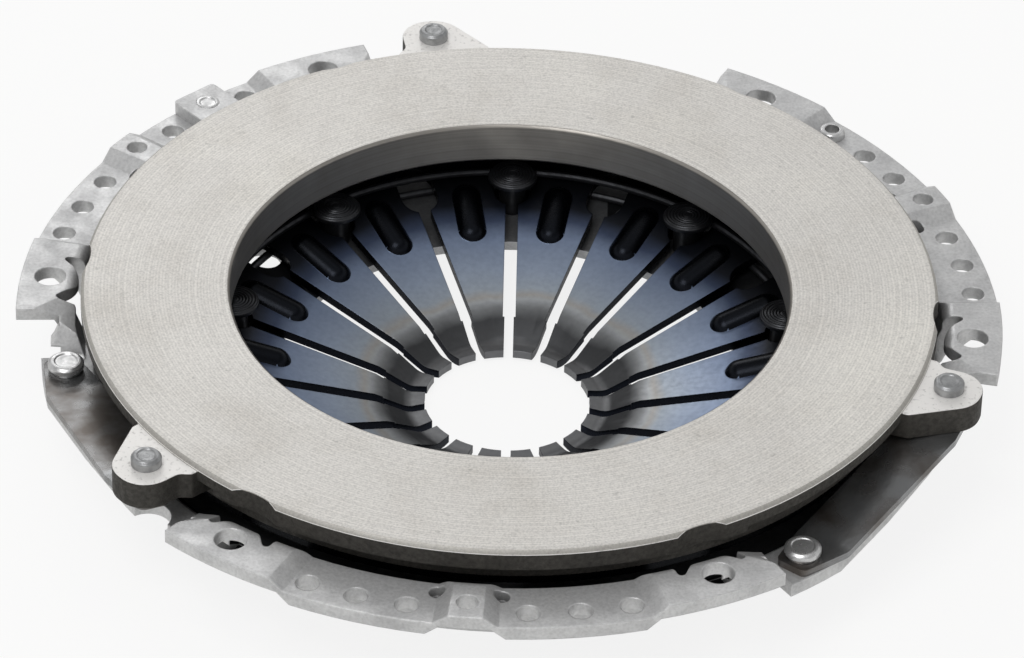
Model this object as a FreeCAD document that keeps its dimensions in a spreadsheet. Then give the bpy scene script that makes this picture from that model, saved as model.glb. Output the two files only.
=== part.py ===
import FreeCAD, Part
import os
import math
import Sketcher

V = FreeCAD.Vector
doc = FreeCAD.newDocument("ClutchPressurePlate")

# Driving dimensions, millimetres and degrees. The origin is the centre of the bolt circle on the
# flange's mounting face, and the friction side points up.
dims = doc.addObject("Spreadsheet::Sheet", "Dims")
VALUES = [
    ("face_height", 8.0), ("face_outer_r", 121.0), ("face_inner_r", 78.95), ("face_chamfer", 0.8),
    ("rim_chamfer", 1.0),
    ("rim_bottom", 1.6), ("rim_bottom_strap", 3.4), ("plate_core_r", 115.5), ("plate_bottom", -4.8),
    ("ridge_r", 111.0), ("ridge_bottom", -5.6), ("scallop_depth", 1.6), ("scallop_round", 20.0),
    ("lug_top", 6.4), ("lug_bottom", -1.8), ("lug_rivet_r", 129.0), ("lug_rivet_angle", -14.95),
    ("sheet_thick", 4.0), ("bend_round", 3.6),
    ("flange_outer_r", 139.4), ("wall_inner_r", 122.7), ("pad_drop", 3.0),
    ("arc_centre", 30.0), ("gap_centre", -30.0), ("gap_angle", 46.4), ("neck_angle", 3.8),
    ("tongue_round", 8.0), ("window_half", 10.1), ("window_bottom", -17.5), ("roll_angle", 30.0),
    ("bolt_circle_r", 131.0), ("bolt_hole_d", 9.0), ("dowel_circle_r", 133.0), ("dowel_hole_d", 6.0),
    ("small_circle_r", 133.2), ("small_hole_d", 6.5), ("small_step_a", 7.0), ("small_step_b", 13.0),
    ("small_step_c", 19.0), ("floor_height", -19.3), ("floor_inner_r", 85.0), ("opening_r", 66.5),
    ("opening_height", -24.9), ("shelf_height", -12.0), ("shelf_outer_r", 132.5),
    ("cover_rivet_r", 126.0), ("cover_rivet_angle", -46.04), ("cover_rivet_d", 10.2),
    ("spring_outer_r", 114.0), ("spring_outer_height", -5.4), ("spring_thick", 2.6),
    ("spring_slope", 0.303),
    ("finger_count", 18), ("slot_wide", 3.7), ("slot_narrow", 2.7), ("slot_step_r", 35.7),
    ("slot_phase", 94.0), ("eye_d", 11.0), ("eye_inner_r", 80.0), ("eye_outer_r", 84.5),
    ("tip_r", 23.7), ("bead_start_r", 66.6), ("bead_end_r", 79.0), ("bead_round", 4.9),
    ("fulcrum_count", 9), ("fulcrum_rivet_r", 80.0), ("fulcrum_head_d", 14.4), ("fulcrum_shank_d", 8.0),
    ("ring_r", 85.2), ("ring_wire_d", 2.36), ("window_r", 87.0), ("window_d", 11.0),
    ("leaf_thick", 0.7), ("leaf_length", 68.38), ("leaf_rise", 8.1), ("leaf_out", 9.0), ("leaf_in", 7.2),
    ("rivet_shank_d", 6.0), ("weight_angle", 137.0), ("hollow_angle", 49.0),
]
for i, (alias, value) in enumerate(VALUES):
    dims.set("A%d" % (i + 1), alias)
    dims.set("B%d" % (i + 1), repr(value))
    dims.setAlias("B%d" % (i + 1), alias)
doc.recompute()
D = dict(VALUES)


def text(e):
    """An expression as text: names of the sheet's cells are written with a leading dollar sign."""
    return str(e).replace("$", "Dims.")


def value(e):
    """The present value of an expression, to place geometry before the solver fixes it."""
    if isinstance(e, (int, float)):
        return float(e)
    r = dims.evalExpression(text(e))
    return float(getattr(r, "Value", r))


def new_body(name):
    b = doc.addObject("PartDesign::Body", name)
    b.Label = name
    return b


def plane(body, role):
    return [o for o in body.Origin.OriginFeatures if o.Role == role][0]


def new_sketch(body, name, role="XY_Plane", turn=0, shift=0):
    """A sketch on an origin plane, turned about Z by an angle and moved along its own normal."""
    sk = body.newObject("Sketcher::SketchObject", name)
    sk.AttachmentSupport = (plane(body, role), [""])
    sk.MapMode = "FlatFace"
    axis = V(0, 0, 1) if role == "XY_Plane" else V(0, 1, 0)
    rot = FreeCAD.Rotation(axis, value(turn))
    sk.AttachmentOffset = FreeCAD.Placement(rot.multVec(V(0, 0, value(shift))), rot)
    if not isinstance(turn, (int, float)):
        sk.setExpression(".AttachmentOffset.Rotation.Angle", text(turn))
    if not isinstance(shift, (int, float)) and role == "XY_Plane":
        sk.setExpression(".AttachmentOffset.Base.z", text(shift))
    return sk


def bind(sk, kind, args, e):
    """One dimension of a sketch, bound to the sheet where it is an expression."""
    n = sk.addConstraint(Sketcher.Constraint(kind, *args, value(e)))
    if not isinstance(e, (int, float)):
        sk.setExpression("Constraints[%d]" % n, text(e))
    return n


def corner_fix(sk, geo, pos, x, y):
    bind(sk, "DistanceX", (-1, 1, geo, pos), x)
    bind(sk, "DistanceY", (-1, 1, geo, pos), y)


def loop(sk, corners):
    """A closed outline of straight runs. A third value on a corner is the radius that rounds it."""
    pts = [V(value(c[0]), value(c[1]), 0) for c in corners]
    rad = [value(c[2]) if len(c) > 2 else 0.0 for c in corners]
    n = len(pts)
    start = []
    end = []
    arcs = []
    for i in range(n):
        p, q, s = pts[i - 1], pts[i], pts[(i + 1) % n]
        if rad[i] == 0:
            start.append(q)
            end.append(q)
            arcs.append(None)
            continue
        u = (p - q).normalize()
        w = (s - q).normalize()
        half = math.acos(max(-1.0, min(1.0, u.dot(w)))) / 2
        run = rad[i] / math.tan(half)
        mid = (u + w).normalize()
        centre = q + mid * (rad[i] / math.sin(half))
        a, b = q + u * run, q + w * run
        top = centre - mid * rad[i]
        start.append(a)
        end.append(b)
        arcs.append(Part.Arc(a, top, b))
    lines = [sk.addGeometry(Part.LineSegment(end[i], start[(i + 1) % n]), False) for i in range(n)]
    for i in range(n):
        before, after = lines[i - 1], lines[i]
        if arcs[i] is None:
            sk.addConstraint(Sketcher.Constraint("Coincident", before, 2, after, 1))
            corner_fix(sk, after, 1, corners[i][0], corners[i][1])
            continue
        g = sk.addGeometry(arcs[i], False)
        a_end = sk.getPoint(g, 1)
        first, last = (1, 2) if (a_end - start[i]).Length < (a_end - end[i]).Length else (2, 1)
        c = sk.addGeometry(Part.Point(pts[i]), True)
        corner_fix(sk, c, 1, corners[i][0], corners[i][1])
        sk.addConstraint(Sketcher.Constraint("PointOnObject", c, 1, before))
        sk.addConstraint(Sketcher.Constraint("PointOnObject", c, 1, after))
        sk.addConstraint(Sketcher.Constraint("Tangent", before, 2, g, first))
        sk.addConstraint(Sketcher.Constraint("Tangent", g, last, after, 1))
        bind(sk, "Radius", (g,), corners[i][2])
    return lines


def circle(sk, x, y, d):
    g = sk.addGeometry(Part.Circle(V(value(x), value(y), 0), V(0, 0, 1), value(d) / 2), False)
    corner_fix(sk, g, 3, x, y)
    bind(sk, "Diameter", (g,), d)
    return g


def polar_xy(r, angle):
    """X and Y expressions of a point given by its radius and its angle."""
    return "(%s) * cos(%s)" % (r, angle), "(%s) * sin(%s)" % (r, angle)


def revolve(body, sk, name, angle=360, cut=False, middle=False):
    f = body.newObject("PartDesign::Groove" if cut else "PartDesign::Revolution", name)
    f.Profile = sk
    f.ReferenceAxis = (sk, ["V_Axis"])
    f.Midplane = middle
    f.Angle = value(angle)
    if not isinstance(angle, (int, float)):
        f.setExpression("Angle", text(angle))
    sk.Visibility = False
    body.Tip = f
    return f


def pad(body, sk, name, length, cut=False, back=False, taper=0):
    f = body.newObject("PartDesign::Pocket" if cut else "PartDesign::Pad", name)
    f.Profile = sk
    f.Length = value(length)
    f.TaperAngle = taper
    if not isinstance(length, (int, float)):
        f.setExpression("Length", text(length))
    f.Reversed = back
    f.Refine = True
    body.Tip = f
    return f


def polar(body, feature, name, count):
    p = body.newObject("PartDesign::PolarPattern", name)
    p.Originals = feature if isinstance(feature, list) else [feature]
    p.Axis = (plane(body, "Z_Axis"), [""])
    p.Angle = 360
    p.Occurrences = int(value(count))
    if not isinstance(count, (int, float)):
        p.setExpression("Occurrences", text(count))
    p.Refine = True
    body.Tip = p
    return p


def circle_edges(feature, tests):
    """Names of the circular edges whose radius and height match one of the pairs in tests."""
    names = []
    for i, e in enumerate(feature.Shape.Edges):
        c = e.Curve
        if not isinstance(c, Part.Circle):
            continue
        for r, z in tests:
            if abs(c.Radius - r) < 0.02 and abs(c.Center.z - z) < 0.02:
                names.append("Edge%d" % (i + 1))
                break
    return names


# Pressure plate: a turned ring with a fulcrum ridge behind, scallops at the bolts and three strap lugs.
plate = new_body("pressure_plate")
s = new_sketch(plate, "plate_section", "XZ_Plane")
loop(s, [("$face_inner_r", "$face_height"), ("$face_outer_r - $rim_chamfer", "$face_height"),
         ("$face_outer_r", "$face_height - $rim_chamfer"), ("$face_outer_r", "$rim_bottom"),
         ("$plate_core_r", "$rim_bottom"), ("$plate_core_r", "$plate_bottom"),
         ("$ridge_r + 2.6", "$plate_bottom"), ("$ridge_r + 1.2", "$ridge_bottom"),
         ("$ridge_r - 1.2", "$ridge_bottom"), ("$ridge_r - 2.6", "$plate_bottom"),
         ("$face_inner_r", "$plate_bottom")])
plate_ring = revolve(plate, s, "plate_ring")
s = new_sketch(plate, "strap_relief_section", "XZ_Plane", "$gap_centre")
loop(s, [("$plate_core_r + 1.6", "$rim_bottom - 1"), ("$face_outer_r + 3", "$rim_bottom - 1"),
         ("$face_outer_r + 3", "$rim_bottom_strap"), ("$plate_core_r + 1.6", "$rim_bottom_strap")])
relief = revolve(plate, s, "strap_relief", "$gap_angle", cut=True, middle=True)
relief = polar(plate, relief, "strap_reliefs", 3)
s = new_sketch(plate, "scallop_circle", "XY_Plane", 0, "$face_height + 1")
circle(s, "$face_outer_r - $scallop_depth + $scallop_round", 0, "2 * $scallop_round")
f = pad(plate, s, "scallop", "$face_height - $rim_bottom + 2", cut=True)
f = polar(plate, f, "scallops", 6)
s = new_sketch(plate, "lug_outline", "XY_Plane", "$lug_rivet_angle", "$lug_bottom")
loop(s, [(112, 11.5), ("$face_outer_r + 1.3", 11.5, 1.5), (125, 9.1, 3), ("$lug_rivet_r + 9.3", 9.1, 8.4),
         ("$lug_rivet_r + 9.3", -5.0, 8.4), ("$face_outer_r + 1", -15.5, 2), (112, -15.5)])
f = pad(plate, s, "lug", "$lug_top - $lug_bottom")
f = polar(plate, f, "lugs", 3)
s = new_sketch(plate, "lug_hole_circle", "XY_Plane", "$lug_rivet_angle", "$face_height + 1")
circle(s, "$lug_rivet_r", 0, "$rivet_shank_d")
f = pad(plate, s, "lug_hole", 20, cut=True)
f = polar(plate, f, "lug_holes", 3)
doc.recompute()
names = circle_edges(f, [(D["face_inner_r"], D["face_height"]), (D["face_inner_r"], D["plate_bottom"])])
bore_edges = plate.newObject("PartDesign::Chamfer", "bore_chamfers")
bore_edges.Base = (f, names)
bore_edges.Size = D["face_chamfer"]
bore_edges.setExpression("Size", text("$face_chamfer"))
plate.Tip = bore_edges

# Diaphragm spring: a coned disc cut into fingers whose tips turn up.
spring = new_body("diaphragm_spring")
line_top = "$spring_outer_height - ($spring_outer_r - %s) * $spring_slope"
line_low = line_top + " - $spring_thick * 1.045"
s = new_sketch(spring, "spring_section", "XZ_Plane")
loop(s, [("$spring_outer_r", "$spring_outer_height"), (38, line_top % 38), (28.6, -33.6, 5),
         ("$tip_r", -33.0), ("$tip_r", -35.5), (27.2, -36.45, 7), (38.6, (line_low % 38.6)),
         ("$spring_outer_r", line_low % "$spring_outer_r")])
f = revolve(spring, s, "spring_disc")
s = new_sketch(spring, "slot_outline", "XY_Plane", "$slot_phase", 0)
loop(s, [("$tip_r - 6", "-$slot_narrow / 2"), ("$slot_step_r", "-$slot_narrow / 2"),
         ("$slot_step_r", "-$slot_wide / 2"), ("$eye_inner_r", "-$slot_wide / 2"),
         ("$eye_inner_r", "$slot_wide / 2"), ("$slot_step_r", "$slot_wide / 2"),
         ("$slot_step_r", "$slot_narrow / 2"), ("$tip_r - 6", "$slot_narrow / 2")])
f1 = pad(spring, s, "slot", 50, cut=True)
s = new_sketch(spring, "eye_outline", "XY_Plane", "$slot_phase", 0)
loop(s, [("$eye_inner_r - $eye_d / 2", "-$eye_d / 2", "$eye_d / 2 - 0.01"),
         ("$eye_outer_r + $eye_d / 2", "-$eye_d / 2", "$eye_d / 2 - 0.01"),
         ("$eye_outer_r + $eye_d / 2", "$eye_d / 2", "$eye_d / 2 - 0.01"),
         ("$eye_inner_r - $eye_d / 2", "$eye_d / 2", "$eye_d / 2 - 0.01")])
f2 = pad(spring, s, "eye", 50, cut=True)
f = polar(spring, [f1, f2], "slots", "$finger_count")


# Each finger's root is stiffened by a round-ended bead: raised on top, hollow behind. Its axis lies near
# the sheet's lower face, so half a turn gives the raised half, and the hollow has the same axis.
rise = "($spring_outer_height - ($spring_outer_r - %s) * $spring_slope - $spring_thick)"


def bead(name, radius, cut):
    sk = new_sketch(spring, name + "_section", "XZ_Plane", "$slot_phase + 180 / $finger_count")
    a0 = V(D["bead_start_r"], value(rise % "$bead_start_r"), 0)
    a1 = V(D["bead_end_r"], value(rise % "$bead_end_r"), 0)
    along = (a1 - a0).normalize()
    up = V(-along.y, along.x, 0)
    r = value(radius)
    near, far = a0 - along * r, a1 + along * r
    top0, top1 = a0 + up * r, a1 + up * r
    if cut:
        near_end = Part.LineSegment(near, top0)
        far_end = Part.LineSegment(top1, far)
    else:
        near_end = Part.Arc(near, a0 + (up - along) * (r / math.sqrt(2)), top0)
        far_end = Part.Arc(top1, a1 + (up + along) * (r / math.sqrt(2)), far)
    for g in (Part.LineSegment(top0, top1), far_end, Part.LineSegment(far, near), near_end):
        n = sk.addGeometry(g, False)
        sk.addConstraint(Sketcher.Constraint("Block", n))
    axis = sk.addGeometry(Part.LineSegment(a0, a1), True)
    corner_fix(sk, axis, 1, "$bead_start_r", rise % "$bead_start_r")
    corner_fix(sk, axis, 2, "$bead_end_r", rise % "$bead_end_r")
    f = spring.newObject("PartDesign::Groove" if cut else "PartDesign::Revolution", name)
    f.Profile = sk
    f.ReferenceAxis = (sk, ["Axis0"])
    f.Midplane = not cut
    f.Angle = 360 if cut else 180
    spring.Tip = f
    return polar(spring, f, name + "s", "$finger_count")


bead("bead", "$bead_round", False)
bead("bead_hollow", "$bead_round - $spring_thick", True)

# Cover: drawn from sheet. Three flange arcs, three shelves between them and a coned floor.
cover = new_body("cover")
s = new_sketch(cover, "arc_section", "XZ_Plane")
W = "$wall_inner_r"
loop(s, [("$opening_r", "$opening_height"), ("$floor_inner_r", "$floor_height"),
         (111, "$floor_height"), (119.2, -14.4), (W, -5), (W, 0, "$bend_round"), ("$flange_outer_r", 0),
         ("$flange_outer_r", -7), (W + " + $sheet_thick", -7), (W + " + $sheet_thick - 0.3", -9),
         (123.4, -16.4), (119.6, -20.8), (113.6, "$floor_height - $sheet_thick"),
         ("$floor_inner_r + 1", "$floor_height - $sheet_thick"),
         ("$opening_r + 1.2", "$opening_height - $sheet_thick + 0.2")])
f = revolve(cover, s, "arc_ring")
for name, inner, angle in (("flange_gap", W + " + 4.5", "$gap_angle"),
                           ("wall_gap", 111.2, "$gap_angle - 2 * $neck_angle")):
    s = new_sketch(cover, name + "_section", "XZ_Plane", "$gap_centre")
    loop(s, [(inner, -26), (146, -26), (146, 3), (inner, 3)])
    f = revolve(cover, s, name, angle, cut=True, middle=True)
    f = polar(cover, f, name + "s", 3)
s = new_sketch(cover, "shelf_section", "XZ_Plane", "$gap_centre")
loop(s, [(109, "$floor_height"), (113.2, "$floor_height"), (116.6, "$shelf_height - 1.4"),
         (118.2, "$shelf_height"),
         ("$shelf_outer_r", "$shelf_height"), ("$shelf_outer_r", "$shelf_height - $sheet_thick"),
         (119.9, "$shelf_height - $sheet_thick"), (117.6, -21.6), (114.6, "$floor_height - $sheet_thick"),
         (109, "$floor_height - $sheet_thick")])
f = revolve(cover, s, "shelf", "$gap_angle", middle=True)
f = polar(cover, f, "shelves", 3)


def sector(name, a, b, r0, r1, z):
    """A four-sided outline between two angles from the arc's centre, at height z."""
    sk = new_sketch(cover, name, "XY_Plane", "$arc_centre", z)
    loop(sk, [polar_xy(r0, a), polar_xy(r1, a), polar_xy(r1, b), polar_xy(r0, b)])
    return sk


# The flange is pressed lower between the pads of the bolts and dowels, with sloped ends.
for side, sign in (("left", 1), ("right", -1)):
    s = sector("low_outline_" + side, sign * 1.6, sign * 22.9, 100, 160, 0.5)
    f = pad(cover, s, "low_section_" + side, "$pad_drop + 0.5", cut=True, taper=-55)
    f = polar(cover, f, "low_sections_" + side, 3)
    s = sector("pad_under_outline_" + side, sign * 19.8, sign * 39, 128, 160, -7.5)
    f = pad(cover, s, "pad_under_" + side, "7.5 - $sheet_thick", cut=True, back=True, taper=-52)
    f = polar(cover, f, "pads_under_" + side, 3)
s = sector("dowel_under_outline", -4.7, 4.7, 128, 160, -7.5)
f = pad(cover, s, "dowel_under", "7.5 - $sheet_thick", cut=True, back=True, taper=-52)
f = polar(cover, f, "dowels_under", 3)

# The flange's ends roll down, and a neck of the wall runs from there and flares out to the shelf.
for side, sign in (("left", 1), ("right", -1)):
    end = "$arc_centre + %d * 30" % sign
    s = new_sketch(cover, "roll_slope_" + side, "YZ_Plane", end + " + %d * 44.2" % sign, 95)
    loop(s, [(sign * -81.7, 0), (sign * -67.7, "-14 * tan($roll_angle)"), (sign * -67.7, 3),
             (sign * -81.7, 3)])
    f = pad(cover, s, "roll_cut_" + side, 17, cut=True, back=True)
    f = polar(cover, f, "roll_cuts_" + side, 3)
    s = sector("end_under_outline_" + side, sign * 29.5, sign * 38.5, 126.9, 160, -7.5)
    f = pad(cover, s, "end_under_" + side, "7.5 - $sheet_thick", cut=True, back=True, taper=-30)
    f = polar(cover, f, "ends_under_" + side, 3)
    s = new_sketch(cover, "flare_section_" + side, "XZ_Plane", end + " + %d * 8.35" % sign)
    loop(s, [(125.2, "$shelf_height - 1"), (131.8, "$shelf_height - 1"), (131.8, "$shelf_height"),
             (130.2, -10.4), (128.7, -7.9), (127.4, -4.6), (125.2, -4.6)])
    f = revolve(cover, s, "flare_" + side, 3.1, middle=True)
    f = polar(cover, f, "flares_" + side, 3)
    s = new_sketch(cover, "neck_slope_" + side, "YZ_Plane", end, 118)
    loop(s, [(sign * 15.6, 2), (sign * 15.6, -1.2, 2), (sign * 21.8, "$shelf_height", 2.5),
             (sign * 26, "$shelf_height"), (sign * 26, 2)])
    f = pad(cover, s, "neck_cut_" + side, 12, cut=True, back=True)
    f = polar(cover, f, "neck_cuts_" + side, 3)

# Round tongues carry the bolts, each with a slit on both sides and a window in the wall below.
s = new_sketch(cover, "tongue_cut_outline", "XY_Plane", 0, 1)
edge = "$bolt_circle_r - $tongue_round"
slit = "$bolt_circle_r - $tongue_round * 1.4142 + $window_half"
round_edge = "$tongue_round * 0.95"
loop(s, [(114, "-$window_half"), (slit, "-$window_half", 1.25),
         (edge, "-0.414 * $tongue_round", round_edge), (edge, "0.414 * $tongue_round", round_edge),
         (slit, "$window_half", 1.25), (114, "$window_half")])
f = pad(cover, s, "tongue_cut", "1 - $window_bottom", cut=True)
f = polar(cover, f, "tongue_cuts", 6)
s = new_sketch(cover, "wall_window_outline", "XY_Plane", 0, "-$sheet_thick")
loop(s, [(114, "-$window_half"), (127.6, "-$window_half"), (127.6, "$window_half"), (114, "$window_half")])
f = pad(cover, s, "wall_window", "-$sheet_thick - $window_bottom", cut=True)
f = polar(cover, f, "wall_windows", 6)

s = new_sketch(cover, "shelf_edge_outline", "XY_Plane", "$gap_centre", "$shelf_height + 1")
loop(s, [polar_xy(132.7, -12.5), polar_xy(128.6, -1), polar_xy(128.4, 10), polar_xy(130.6, 19.2),
         polar_xy(150, 19.2), polar_xy(152, 4), polar_xy(150, -12.5)])
f = pad(cover, s, "shelf_edge", 6, cut=True)
f = polar(cover, f, "shelf_edges", 3)


def hole_set(name, places, count, depth=60, z=3):
    """Round holes given as (radius, angle, diameter), repeated about the axis."""
    sk = new_sketch(cover, name + "_circles", "XY_Plane", 0, z)
    for r, a, d in places:
        x, y = polar_xy(r, a)
        circle(sk, x, y, d)
    f = pad(cover, sk, name, depth, cut=True)
    return polar(cover, f, name + "s", count)


hole_set("bolt_hole", [("$bolt_circle_r", 0, "$bolt_hole_d")], 6, 12)
A = "$arc_centre"
hole_set("dowel_hole", [("$dowel_circle_r", A, "$dowel_hole_d")], 3, 12)
places = []
for step in ("$small_step_a", "$small_step_b", "$small_step_c"):
    places.append(("$small_circle_r", A + " + " + step, "$small_hole_d"))
    places.append(("$small_circle_r", A + " - " + step, "$small_hole_d"))
hole_set("small_hole", places, 3, 12)
hole_set("lobe_window", [(126.6, A + " + 3.9", 4.6), (126.6, A + " - 3.9", 4.6)], 3, 9)
hole_set("cover_rivet_hole", [("$cover_rivet_r", "$cover_rivet_angle", "$rivet_shank_d")], 3)
hole_set("tail_clearance", [("$lug_rivet_r", "$lug_rivet_angle", 13)], 3)
hole_set("fulcrum_hole", [("$fulcrum_rivet_r", "$slot_phase", "$fulcrum_shank_d")], "$fulcrum_count")
hole_set("fulcrum_seat", [("$fulcrum_rivet_r", "$slot_phase", 13.2)], "$fulcrum_count", 5, -25.6)
hole_set("floor_window", [("$window_r", A, "$window_d")], 3)

# Rivets, rings and weights are turned or plain pieces.


def turned(name, r, angle, corners):
    """A body of revolution about its own upright axis, placed by its radius and its angle."""
    b = new_body(name)
    sk = new_sketch(b, name + "_section", "XZ_Plane")
    loop(sk, corners)
    f = revolve(b, sk, name + "_turning")
    a = value(angle)
    rad = math.radians(a)
    b.Placement = FreeCAD.Placement(V(value(r) * math.cos(rad), value(r) * math.sin(rad), 0),
                                    FreeCAD.Rotation(V(0, 0, 1), a))
    return b


step = 360.0 / D["fulcrum_count"]
head = -9.7
for i in range(int(D["fulcrum_count"])):
    turned("fulcrum_rivet_%d" % (i + 1), "$fulcrum_rivet_r", D["slot_phase"] + i * step,
           [(0, head), (6.5, head), ("$fulcrum_head_d / 2", head - 0.8),
            ("$fulcrum_head_d / 2", head - 1.9), ("$fulcrum_shank_d / 2", head - 1.9),
            ("$fulcrum_shank_d / 2", -25.6), (6.2, -25.6), (5.4, -27.6), (0, -27.6)])
for i in range(3):
    turned("plate_rivet_%d" % (i + 1), "$lug_rivet_r", D["lug_rivet_angle"] + 120 * i,
           [(0, "$lug_top + 3.1"), (3.5, "$lug_top + 3.1"), (4.25, "$lug_top + 2.3"), (4.25, "$lug_top"),
            ("$rivet_shank_d / 2", "$lug_top"), ("$rivet_shank_d / 2", -3.9), (4.6, -3.9), (4.0, -6.1),
            (0, -6.1)])
    turned("cover_rivet_%d" % (i + 1), "$cover_rivet_r", D["cover_rivet_angle"] + 120 * i,
           [(0, -6.6), (4.2, -6.6), ("$cover_rivet_d / 2", -7.3), ("$cover_rivet_d / 2", -8.6),
            (4.3, -9.0), (4.3, -9.9), ("$rivet_shank_d / 2", -9.9), ("$rivet_shank_d / 2", -16),
            (4.7, -16), (4.0, -18.3), (0, -18.3)])
turned("balance_rivet", "$small_circle_r", "$weight_angle",
       [(0, 1.1), (3.35, 1.1), (3.2, -0.6), (3.2, -7), (4.6, -7), (4.0, -8.8), (0, -8.8)])
turned("hollow_balance_rivet", "$small_circle_r", "$hollow_angle",
       [(2.15, -0.6), (3.3, -0.6), (3.8, -1.2), (3.8, -3), (3.2, -3), (3.2, -7), (4.2, -7),
        (4.0, -8.6), (2.15, -8.6)])

weight = new_body("balance_weight")
s = new_sketch(weight, "weight_outline", "XY_Plane", 0, -3)
loop(s, [(-6.6, -7.5, 1.2), (6.8, -7.5, 1.2), (6.8, 7.5, 1.2), (-6.6, 7.5, 1.2)])
circle(s, 0, 0, 6.4)
pad(weight, s, "weight_plate", 4)
s = new_sketch(weight, "weight_sink", "XY_Plane", 0, 1)
circle(s, 0, 0, 6.7)
pad(weight, s, "weight_sink_cut", 1.7, cut=True)
turn = FreeCAD.Rotation(V(0, 0, 1), D["weight_angle"])
weight.Placement = FreeCAD.Placement(turn.multVec(V(D["small_circle_r"], 0, 0)), turn)

# The two fulcrum wires have eight flats round their section.
for name, z in (("fulcrum_ring_front", -12.87), ("fulcrum_ring_rear", -18.1)):
    ring = new_body(name)
    s = new_sketch(ring, name + "_section", "XZ_Plane")
    corners = []
    for k in range(8):
        x, y = polar_xy("$ring_wire_d / 2", 22.5 + 45 * k)
        corners.append(("$ring_r + " + x, "%s + %s" % (z, y)))
    loop(s, corners)
    revolve(ring, s, name + "_turning")

# Straps: three packs of three spring leaves, from the shelf's rivet up to the lug's.
LEAVES = (("bottom", 0), ("middle", 1), ("top", 2))
ca, cr = math.radians(D["cover_rivet_angle"]), D["cover_rivet_r"]
la, lr = math.radians(D["lug_rivet_angle"]), D["lug_rivet_r"]
c0 = V(cr * math.cos(ca), cr * math.sin(ca), 0)
c1 = V(lr * math.cos(la), lr * math.sin(la), 0)
chord = math.degrees(math.atan2(c1.y - c0.y, c1.x - c0.x))
for k in range(3):
    for word, level in LEAVES:
        b = new_body("strap_%d_leaf_%s" % (k + 1, word))
        base = "$shelf_height + %d * $leaf_thick" % level
        s = new_sketch(b, b.Name + "_side", "XZ_Plane", 0, 12)
        L = "$leaf_length"
        high = base + " + $leaf_rise"
        upper = " + $leaf_thick"
        loop(s, [(-6.5, base), (9, base, 16), (L + " - 10", high, 16), (L + " + 7.6", high),
                 (L + " + 7.6", high + upper), (L + " - 10", high + upper, 16), (9, base + upper, 16),
                 (-6.5, base + upper)])
        pad(b, s, b.Name + "_strip", 24, back=True)
        s = new_sketch(b, b.Name + "_plan", "XY_Plane", 0, 3)
        loop(s, [(-20, -25), (100, -25), (100, 25), (-20, 25)])
        loop(s, [(-5.8, -4.6, 2), (-5.8, 4.6, 2), (8, "$leaf_in", 6), (L + " - 8", "$leaf_in", 6),
                 (L + " + 6.8", 4.4, 3), (L + " + 6.8", -4.4, 3), (L + " - 9", "-$leaf_out", 6),
                 (9, "-$leaf_out", 6)])
        circle(s, 0, 0, "$rivet_shank_d + 0.02")
        circle(s, L, 0, "$rivet_shank_d + 0.6")
        pad(b, s, b.Name + "_trim", 30, cut=True)
        turn = FreeCAD.Rotation(V(0, 0, 1), 120 * k)
        b.Placement = FreeCAD.Placement(turn.multVec(c0), FreeCAD.Rotation(V(0, 0, 1), chord + 120 * k))

doc.recompute()

# Every object must have been computed, and every sub-part must be one valid solid.
failed = [o.Name + " " + ",".join(o.State) for o in doc.Objects
          if "Invalid" in o.State or "Error" in o.State]
assert not failed, failed
pieces = [o for o in doc.Objects if o.TypeId == "PartDesign::Body"]
for o in pieces:
    assert not o.Shape.isNull(), o.Label
    assert o.Shape.isValid(), o.Label
    assert len(o.Shape.Solids) == 1, (o.Label, len(o.Shape.Solids))
os.makedirs("parts", exist_ok=True)
for o in pieces:
    shape = o.Shape
    shape.exportStep("parts/%s.step" % o.Label)
    box = shape.BoundBox
    print("%-24s vol %10.1f  x %7.2f %7.2f  y %7.2f %7.2f  z %7.2f %7.2f" % (
        o.Label, shape.Volume, box.XMin, box.XMax, box.YMin, box.YMax, box.ZMin, box.ZMax))
print("pieces", len(pieces))
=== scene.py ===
"""Clutch cover assembly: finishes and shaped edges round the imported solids, with stage and camera."""

import math

import bmesh
import bpy
from mathutils import Matrix, Vector


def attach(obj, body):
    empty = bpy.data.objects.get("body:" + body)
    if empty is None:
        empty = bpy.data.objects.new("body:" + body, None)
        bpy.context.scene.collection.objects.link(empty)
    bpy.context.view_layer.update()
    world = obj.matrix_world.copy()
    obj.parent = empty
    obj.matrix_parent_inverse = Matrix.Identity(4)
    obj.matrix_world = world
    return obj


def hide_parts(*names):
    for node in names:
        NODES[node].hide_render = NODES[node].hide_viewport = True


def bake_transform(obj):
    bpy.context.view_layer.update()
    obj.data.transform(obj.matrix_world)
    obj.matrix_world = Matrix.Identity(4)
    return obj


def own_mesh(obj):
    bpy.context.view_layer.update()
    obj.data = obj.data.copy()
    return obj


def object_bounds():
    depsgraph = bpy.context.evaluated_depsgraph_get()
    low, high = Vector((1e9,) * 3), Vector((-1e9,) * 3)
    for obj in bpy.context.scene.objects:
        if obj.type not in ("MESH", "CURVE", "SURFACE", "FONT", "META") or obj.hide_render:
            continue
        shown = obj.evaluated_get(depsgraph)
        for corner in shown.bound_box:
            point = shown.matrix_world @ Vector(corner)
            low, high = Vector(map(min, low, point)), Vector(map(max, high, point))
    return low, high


bl_info = {
    "name": "Clutch Pressure Plate",
    "version": (1, 0, 0),
    "blender": (4, 5, 0),
    "location": "View3D > Sidebar > Clutch",
    "description": "Dresses the clutch cover assembly piece by piece",
    "category": "Object",
}

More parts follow.
